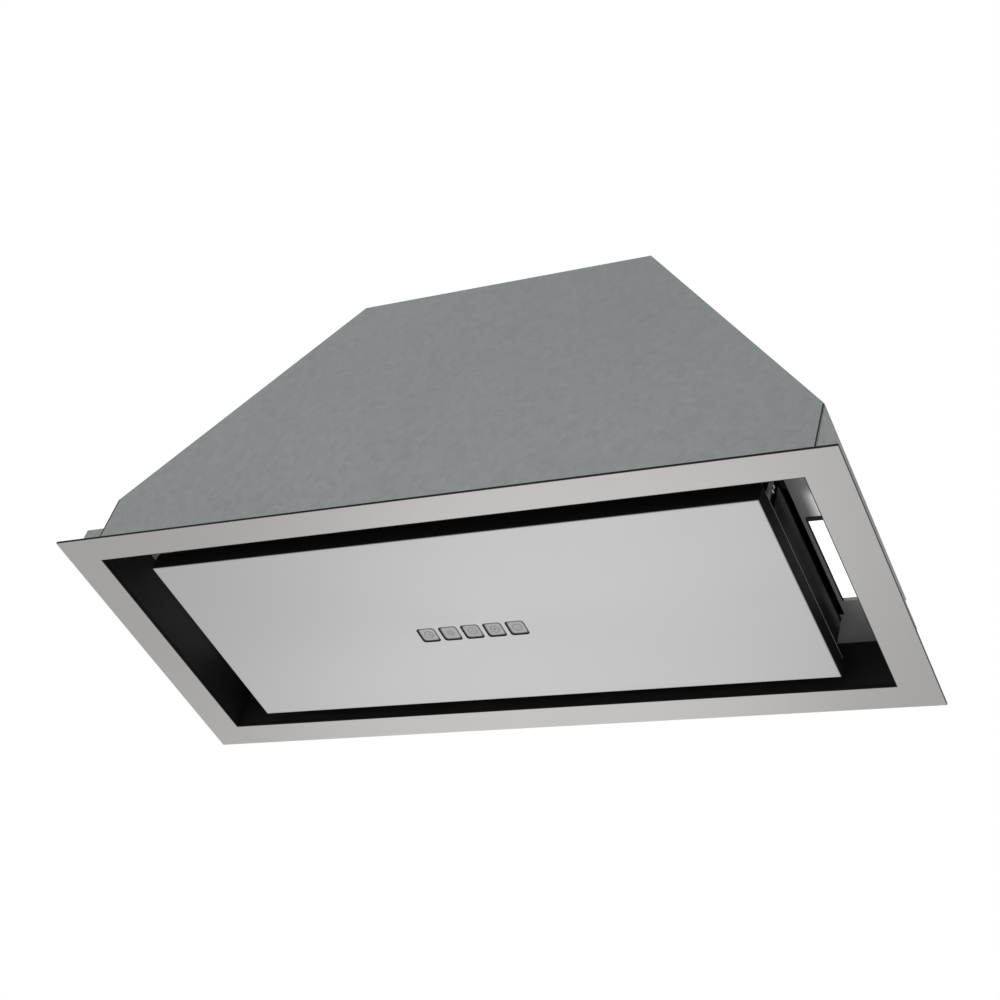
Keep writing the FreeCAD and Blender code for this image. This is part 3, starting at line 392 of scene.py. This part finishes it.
def lamp_diffuser():
    """A lit frosted cover with rows of small prisms."""
    finish = Finish("lamp_diffuser")
    prisms = finish.cells(500, "Distance")
    finish.set(Emission_Strength=1.05)
    edges = finish.spread(prisms, 0, 1, span=(0.0, 0.7))
    glow = finish.mix(edges, (1.0, 0.99, 0.97), (0.93, 0.93, 0.92))
    finish.feed(glow, finish.shader.inputs["Emission Color"])
    finish.bump(prisms, depth_mm=0.1, strength=0.3)
    return finish.paint(glow, finish.spread(prisms, 0.3, 0.5))


def circuit_board():
    """Green solder mask over faint copper runs."""
    finish = Finish("circuit_board")
    runs = finish.cells(260, "Distance")
    between = finish.spread(runs, 0, 1, span=(0.25, 0.3))
    base = finish.mix(between, (0.02, 0.13, 0.05), (0.015, 0.09, 0.035))
    finish.bump(runs, depth_mm=0.05, strength=0.3)
    return finish.paint(base, finish.spread(finish.noise((90, 90, 90)), 0.3, 0.45))


FLANGE_OPENING = (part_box("neck_right_wall")[0].x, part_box("neck_rear_wall")[0].y)
# The dark edge tones given to the steels here are painted shade
FINISHES = {
    "brushed_steel": brushed_steel("brushed_steel", (0.50, 0.493, 0.486), roughness=0.34,
                                   edge=grey(0.012), opening=FLANGE_OPENING),
    "dark_steel": brushed_steel("dark_steel", grey(0.46), roughness=0.38, edge=grey(0.02),
                                sheen=0.55, painted_pool=grey(0.98)),
    "galvanised_steel": galvanised_steel(),
    "black_enamel": black_enamel("black_enamel", tone=0.011, gloss=0.16),
    "lamp_diffuser": lamp_diffuser(),
    "bright_steel": bright_steel("bright_steel", tone=0.54),
    "black_plastic": moulded_plastic("black_plastic", (0.018, 0.018, 0.019), roughness=0.5,
                                     grains_per_metre=900),
    "key_plastic": key_plastic(),
    "filter_aluminium": filter_aluminium(),
    "circuit_board": circuit_board(),
    "wheel_plastic": moulded_plastic("wheel_plastic", (0.12, 0.12, 0.125), roughness=0.5,
                                     grains_per_metre=700),
    "motor_steel": motor_steel(),
    "white_plastic": moulded_plastic("white_plastic", (0.72, 0.71, 0.68), roughness=0.45,
                                     grains_per_metre=800),
}
# The panel's dark edge tone on its bends and side walls is painted shade
PANEL_FINISH = brushed_steel("satin_panel", (0.565, 0.562, 0.56), roughness=0.40,
                             edge=grey(0.011))
GUIDE_FINISH = guide_painted_light_and_shade()
HEM_FINISH = bright_steel("hem_steel", tone=0.3)
CLIP_FINISH = bright_steel("spring_steel", tone=0.26)
ROLLER_FINISH = bright_steel("roller_steel", tone=0.85)
SIGN_FINISH = moulded_plastic("sign_ink", grey(0.10), roughness=0.5, grains_per_metre=1500)


# A finish on every node, and a small round on the keys and the flange

KEYS = ["speed_key", "lamp_key", "minus_key", "plus_key", "power_key"]
KEY_ROUND = 0.8 * MM
FLANGE_ROUND = 0.6 * MM
WELD_REACH = 0.001 * MM
ROUND_SEGMENTS = 3
SHARP_ANGLE = math.radians(40)


def dress(item, material):
    item.data.materials.clear()
    item.data.materials.append(material)


def soften(name, width):
    """A small round on the sharp edges of a node."""
    weld = nodes[name].modifiers.new("weld", "WELD")
    weld.merge_threshold = WELD_REACH
    round_edges = nodes[name].modifiers.new("round", "BEVEL")
    round_edges.width = width
    round_edges.segments = ROUND_SEGMENTS
    round_edges.limit_method = "ANGLE"
    round_edges.angle_limit = SHARP_ANGLE


for subpart in frame["record"]["subparts"]:
    dress(nodes[subpart["node"]], FINISHES[subpart["material_slot"]])
dress(nodes["panel_skin"], PANEL_FINISH)
for side in SIDES:
    dress(nodes[f"{side}_filter_guide"], GUIDE_FINISH)
    dress(nodes[f"{side}_catch_clip"], CLIP_FINISH)
for key in KEYS:
    soften(key, KEY_ROUND)
soften("trim_flange", FLANGE_ROUND)


# Thin trim on the panel, the filter, the lamps and the catches, and painted shadow at the casing's
# front corners

HEM_HALF = 0.6 * MM
HEM_RISE = 0.3 * MM
HEM_PROUD = 0.25 * MM
HEM_END = 6.0 * MM
SEAL_HALF = 0.5 * MM
SEAL_RISE = 2.6 * MM
SEAL_ROOT = 0.4 * MM
SEAL_END = 1.0 * MM
HOLDER_SIDE = 0.2 * MM
HOLDER_FRONT = 2.9 * MM
HOLDER_LAP = 0.9 * MM
HOLDER_DROP = 0.4 * MM
CAP_LENGTH = 3.4 * MM
CAP_HALF_HEIGHT = 0.3 * MM
ROLLER_RADIUS = 1.0 * MM
ROLLER_HALF_WIDTH = 0.6 * MM
ROLLER_HALF = 1.9 * MM
ROLLER_DROP = 22.0 * MM
ROLLER_PITCH = 4.6 * MM
STRAND_PITCH = 9.0 * MM
STRAND_LEAN = 48.0 * MM
STRAND_HALF_WIDTH = 0.5 * MM
STRAND_HALF_HEIGHT = 0.2 * MM
STRAND_CLEARANCE = 0.1 * MM
SHOULDER = 61.6 * MM
# The strips at the casing's front corners are painted shadow in black enamel
SEAM_HALF = 0.7 * MM
SEAM_RISE = 0.06 * MM
SEAM_FOOT = 0.5 * MM
SEAM_SIDES = 8


def add_piece(name, mesh, body, material):
    """A new object of a built mesh, in the CAD's own frame, that rides on a body."""
    bmesh.ops.recalc_face_normals(mesh, faces=list(mesh.faces))
    data = bpy.data.meshes.new(name)
    mesh.to_mesh(data)
    mesh.free()
    piece = bpy.data.objects.new(name, data)
    scene.collection.objects.link(piece)
    dress(piece, material)
    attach(piece, body)


def sweep_profile(mesh, profile, start, end, across=(ALONG_X, ALONG_Z)):
    """A closed bar: a profile of offsets along two axes, carried from start to end."""
    rings = []
    for place in (start, end):
        ring = [Vector(place) + across[0] * u + across[1] * v for u, v in profile]
        rings.append([mesh.verts.new(corner) for corner in ring])
    count = len(profile)
    for step in range(count):
        after = (step + 1) % count
        mesh.faces.new((rings[0][step], rings[0][after], rings[1][after], rings[1][step]))
    mesh.faces.new(rings[0][::-1])
    mesh.faces.new(rings[1])


def full_turn(steps):
    return [math.tau * step / steps for step in range(steps)]


def round_profile(half_width, half_height, steps=12):
    turns = full_turn(steps)
    return [(half_width * math.cos(turn), half_height * math.sin(turn)) for turn in turns]


def outer_edge(low, high, sign):
    """The X of a box on the side that the sign gives."""
    return high.x if sign > 0 else low.x


def make_front_seal():
    """A rubber lip that stands on the panel's front wall and closes the gap to the opening."""
    low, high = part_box("panel_skin")
    profile = [(-SEAL_HALF, -SEAL_ROOT), (SEAL_HALF, -SEAL_ROOT),
               (SEAL_HALF * 0.8, SEAL_RISE * 0.7), (SEAL_HALF * 0.2, SEAL_RISE),
               (-SEAL_HALF * 0.4, SEAL_RISE * 0.9), (-SEAL_HALF, SEAL_RISE * 0.4)]
    mesh = bmesh.new()
    row = low.y + SEAL_HALF
    sweep_profile(mesh, profile, (low.x + SEAL_END, row, high.z), (high.x - SEAL_END, row, high.z),
                  (ALONG_Y, ALONG_Z))
    add_piece("panel_front_seal", mesh, "panel", FINISHES["black_plastic"])


def make_filter_strands():
    """Two layers of slanted strands over the slotted plate, crossing as in expanded metal."""
    low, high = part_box("filter_mesh")
    profile = [(x * STRAND_HALF_WIDTH, z * STRAND_HALF_HEIGHT)
               for x, z in ((-1, -1), (1, -1), (1, 1), (-1, 1))]
    count = int((high.x - low.x - STRAND_LEAN) / STRAND_PITCH)
    mesh = bmesh.new()
    for layer, (shift, lean) in enumerate(((0.0, STRAND_LEAN), (STRAND_LEAN, -STRAND_LEAN))):
        level = high.z + STRAND_CLEARANCE + (1 + 2 * layer) * STRAND_HALF_HEIGHT
        for step in range(count + 1):
            foot = low.x + shift + step * STRAND_PITCH
            sweep_profile(mesh, profile, (foot, low.y, level), (foot + lean, high.y, level))
    add_piece("filter_strands", mesh, "casing", FINISHES["filter_aluminium"])


def make_corner_seam(side, sign):
    """A black strip of painted shadow in the joint where the front sheet laps a side shell, up to
    the casing's shoulder.
    """
    low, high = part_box("front_panel")
    middle = outer_edge(low, high, sign) - sign * SEAM_HALF
    mesh = bmesh.new()
    sweep_profile(mesh, round_profile(SEAM_HALF, SEAM_RISE, SEAM_SIDES),
                  (middle, low.y, low.z + SEAM_FOOT), (middle, low.y, low.z + SHOULDER),
                  (ALONG_X, ALONG_Y))
    add_piece(f"{side}_corner_seam_painted_shadow", mesh, "casing", FINISHES["black_enamel"])


def make_hem(side, sign):
    """The rolled upper edge of one of the panel's side walls."""
    low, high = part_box("panel_skin")
    middle = outer_edge(low, high, sign) - sign * (HEM_HALF - HEM_PROUD)
    mesh = bmesh.new()
    sweep_profile(mesh, round_profile(HEM_HALF, HEM_RISE),
                  (middle, low.y + HEM_END, high.z), (middle, high.y - HEM_END, high.z))
    add_piece(f"{side}_panel_hem", mesh, "panel", HEM_FINISH)


def make_lamp_holder(side):
    """A frame of three bars that laps a lens, open at the rear."""
    low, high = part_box(f"{side}_lamp_lens")
    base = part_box(f"{side}_lamp_shelf")[0].z
    foot = low.z - HOLDER_DROP
    outer = [(low.x - HOLDER_SIDE, high.y), (low.x - HOLDER_SIDE, low.y - HOLDER_FRONT),
             (high.x + HOLDER_SIDE, low.y - HOLDER_FRONT), (high.x + HOLDER_SIDE, high.y)]
    inner = [(low.x + HOLDER_LAP, high.y), (low.x + HOLDER_LAP, low.y + HOLDER_LAP),
             (high.x - HOLDER_LAP, low.y + HOLDER_LAP), (high.x - HOLDER_LAP, high.y)]
    mesh = bmesh.new()
    rings = []
    for level, path in ((base, outer), (foot, outer), (foot, inner), (base, inner)):
        rings.append([mesh.verts.new((x, y, level)) for x, y in path])
    for first, second in zip(rings, rings[1:] + rings[:1]):
        for step in range(len(outer) - 1):
            mesh.faces.new((first[step], first[step + 1], second[step + 1], second[step]))
    for end in (0, -1):
        mesh.faces.new([ring[end] for ring in rings])
    add_piece(f"{side}_lamp_holder", mesh, "casing", FINISHES["black_plastic"])


def make_lamp_cap(side):
    """The pale end of a lens at the rear, where its holder is open."""
    low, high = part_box(f"{side}_lamp_lens")
    middle = (low.x + high.x) / 2
    mesh = bmesh.new()
    sweep_profile(mesh, round_profile((high.x - low.x) / 2 - HOLDER_LAP, CAP_HALF_HEIGHT),
                  (middle, high.y - CAP_LENGTH, low.z), (middle, high.y, low.z))
    add_piece(f"{side}_lamp_cap", mesh, "casing", FINISHES["white_plastic"])


def make_catch_rollers(side, sign):
    """Two small rollers on the outer leaf of a catch clip."""
    low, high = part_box(f"{side}_catch_clip")
    face = outer_edge(low, high, sign)
    middle = (low.y + high.y) / 2
    mesh = bmesh.new()
    for lift in (0.0, ROLLER_PITCH):
        level = high.z - ROLLER_DROP + lift
        sweep_profile(mesh, round_profile(ROLLER_HALF_WIDTH, ROLLER_RADIUS),
                      (face, middle - ROLLER_HALF, level), (face, middle + ROLLER_HALF, level))
    add_piece(f"{side}_catch_rollers", mesh, "casing", ROLLER_FINISH)


make_front_seal()
make_filter_strands()
for side, sign in SIDES.items():
    make_corner_seam(side, sign)
    make_hem(side, sign)
    make_lamp_holder(side)
    make_lamp_cap(side)
    make_catch_rollers(side, sign)


# Signs on the keys, drawn as thin inlays; up on a sign is towards the front of the hood

SIGN_LIFT = 0.05 * MM
SIGN_LINE = 0.42 * MM
HAND_LINE = SIGN_LINE * 1.6
RING_RADIUS = 3.9 * MM
HUB_RADIUS = RING_RADIUS * 0.16
HAND_END = (RING_RADIUS * 0.42, -RING_RADIUS * 0.5)
BULB_RADIUS = RING_RADIUS * 0.42
STROKE_REACH = RING_RADIUS * 0.45
RAYS = 8
RAY_SPAN = (RING_RADIUS * 0.66, RING_RADIUS * 1.05)
POWER_SPAN = (-RING_RADIUS * 0.1, -RING_RADIUS * 0.72)


def ring_faces(mesh, radius, line, steps=40):
    """A flat ring."""
    loops = []
    for reach in (radius - line / 2, radius + line / 2):
        loops.append([mesh.verts.new((reach * math.cos(turn), reach * math.sin(turn), 0))
                      for turn in full_turn(steps)])
    inner, outer = loops
    for step in range(steps):
        after = (step + 1) % steps
        mesh.faces.new((inner[step], outer[step], outer[after], inner[after]))


def bar_face(mesh, start, end, line):
    """A flat stroke from start to end."""
    start, end = Vector((*start, 0)), Vector((*end, 0))
    side = (end - start).normalized().cross(ALONG_Z) * (line / 2)
    corners = (start - side, end - side, end + side, start + side)
    mesh.faces.new([mesh.verts.new(corner) for corner in corners])


def hand_face(mesh, radius, end, line, steps=20):
    """A flat disc at the middle and a stroke from it to the end, in one outline."""
    end = Vector((*end, 0))
    side = ALONG_Z.cross(end.normalized()) * (line / 2)
    half_gap = math.asin(line / 2 / radius)
    first = math.atan2(end.y, end.x) + half_gap
    turns = [first + (math.tau - 2 * half_gap) * step / steps for step in range(steps + 1)]
    outline = [(radius * math.cos(turn), radius * math.sin(turn), 0) for turn in turns]
    mesh.faces.new([mesh.verts.new(corner) for corner in outline + [end - side, end + side]])


def draw_speed(mesh):
    ring_faces(mesh, RING_RADIUS, SIGN_LINE)
    hand_face(mesh, HUB_RADIUS, HAND_END, HAND_LINE)


def draw_lamp(mesh):
    ring_faces(mesh, BULB_RADIUS, SIGN_LINE)
    near, far = RAY_SPAN
    for turn in full_turn(RAYS):
        way = (math.cos(turn), math.sin(turn))
        bar_face(mesh, (near * way[0], near * way[1]), (far * way[0], far * way[1]), SIGN_LINE)


def draw_minus(mesh):
    ring_faces(mesh, RING_RADIUS, SIGN_LINE)
    bar_face(mesh, (-STROKE_REACH, 0), (STROKE_REACH, 0), SIGN_LINE)


def draw_plus(mesh):
    draw_minus(mesh)
    bar_face(mesh, (0, SIGN_LINE / 2), (0, STROKE_REACH), SIGN_LINE)
    bar_face(mesh, (0, -STROKE_REACH), (0, -SIGN_LINE / 2), SIGN_LINE)


def draw_power(mesh):
    ring_faces(mesh, RING_RADIUS, SIGN_LINE)
    start, end = POWER_SPAN
    bar_face(mesh, (0, start), (0, end), SIGN_LINE)


def thicken(mesh, lift):
    """Close flat faces into thin solids, in an order that is the same on every run."""
    faces = list(mesh.faces)
    rims = [edge for edge in mesh.edges if len(edge.link_faces) == 1]
    upper = {corner: mesh.verts.new(corner.co + ALONG_Z * lift) for corner in list(mesh.verts)}
    for edge in rims:
        first, second = edge.verts
        mesh.faces.new((first, second, upper[second], upper[first]))
    for face in faces:
        mesh.faces.new([upper[corner] for corner in face.verts])


def make_sign(key, draw):
    """A drawn sign, raised a little and turned to face down on its key."""
    mesh = bmesh.new()
    draw(mesh)
    thicken(mesh, SIGN_LIFT)
    low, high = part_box(key)
    middle = (low + high) / 2
    place = Matrix.Translation((middle.x, middle.y, low.z))
    mesh.transform(place @ Matrix.Rotation(math.pi, 4, "X"))
    add_piece(f"{key}_sign", mesh, key, SIGN_FINISH)


for key, draw in zip(KEYS, (draw_speed, draw_lamp, draw_minus, draw_plus, draw_power)):
    make_sign(key, draw)


# Studio: a pale floor far below, a white surround and soft lamps

FLOOR_LEVEL = -1.6
FLOOR_SIZE = 120.0
SURROUND_LIGHT = 0.85
SURROUND_SHOWN = 1.0
LAMPS = {
    "front_box": {"place": (-0.9, -2.2, 0.9), "size": 1.6, "power": 6},
    "under_box": {"place": (-0.75, 1.26, -1.2), "size": 0.9, "power": 1.6},
}


def make_floor():
    data = bpy.data.meshes.new("floor")
    half = FLOOR_SIZE / 2
    outline = ((-half, -half), (half, -half), (half, half), (-half, half))
    data.from_pydata([(x, y, FLOOR_LEVEL) for x, y in outline], [], [(0, 1, 2, 3)])
    floor = bpy.data.objects.new("floor", data)
    scene.collection.objects.link(floor)
    finish = Finish("floor_paint")
    tone = finish.noise((3, 3, 3), detail=2)
    colour = finish.mix(tone, grey(0.80), grey(0.83))
    dress(floor, finish.paint(colour, finish.spread(tone, 0.8, 0.9)))


def make_world():
    """White to the camera and in reflections, and a plain soft light on everything else."""
    world = bpy.data.worlds.new("studio")
    scene.world = world
    world.use_nodes = True
    tree = world.node_tree
    background = tree.nodes["Background"]
    background.inputs["Color"].default_value = (1.0, 1.0, 1.0, 1.0)
    path = tree.nodes.new("ShaderNodeLightPath")
    shown = path.outputs["Is Camera Ray"]
    for name in ("Is Glossy Ray", "Is Transmission Ray"):
        either = tree.nodes.new("ShaderNodeMath")
        either.operation = "MAXIMUM"
        tree.links.new(shown, either.inputs[0])
        tree.links.new(path.outputs[name], either.inputs[1])
        shown = either.outputs["Value"]
    strength = tree.nodes.new("ShaderNodeMapRange")
    strength.inputs["To Min"].default_value = SURROUND_LIGHT
    strength.inputs["To Max"].default_value = SURROUND_SHOWN
    tree.links.new(shown, strength.inputs["Value"])
    tree.links.new(strength.outputs["Result"], background.inputs["Strength"])


def make_lamp(name, place, size, power):
    """A square soft box that points at the hood's opening."""
    data = bpy.data.lights.new(name, "AREA")
    data.size = size
    data.energy = power
    lamp = bpy.data.objects.new(name, data)
    scene.collection.objects.link(lamp)
    place = Vector(place)
    turn = (-place).to_track_quat("-Z", "Y").to_matrix().to_4x4()
    lamp.matrix_world = Matrix.Translation(place) @ turn


make_floor()
make_world()
for name, settings in LAMPS.items():
    make_lamp(name, **settings)


# Camera at the photograph's place

CAMERA_PLACE = Vector((724.66, -973.63, -886.70)) * MM
CAMERA_AZIMUTH = math.radians(-37.44)
CAMERA_RISE = math.radians(39.93)
CAMERA_ROLL = math.radians(19.23)
CAMERA_LENS = 65.71


def make_camera():
    data = bpy.data.cameras.new("camera")
    data.lens = CAMERA_LENS
    camera = bpy.data.objects.new("camera", data)
    scene.collection.objects.link(camera)
    outward = math.cos(CAMERA_RISE)
    ahead = Vector((math.sin(CAMERA_AZIMUTH) * outward, math.cos(CAMERA_AZIMUTH) * outward,
                    math.sin(CAMERA_RISE)))
    level = ahead.cross(ALONG_Z).normalized()
    right = level * math.cos(CAMERA_ROLL) + level.cross(ahead) * math.sin(CAMERA_ROLL)
    axes = Matrix((right, right.cross(ahead), -ahead)).transposed()
    camera.matrix_world = Matrix.Translation(CAMERA_PLACE) @ axes.to_4x4()
    scene.camera = camera


make_camera()
scene.view_settings.view_transform = "Standard"
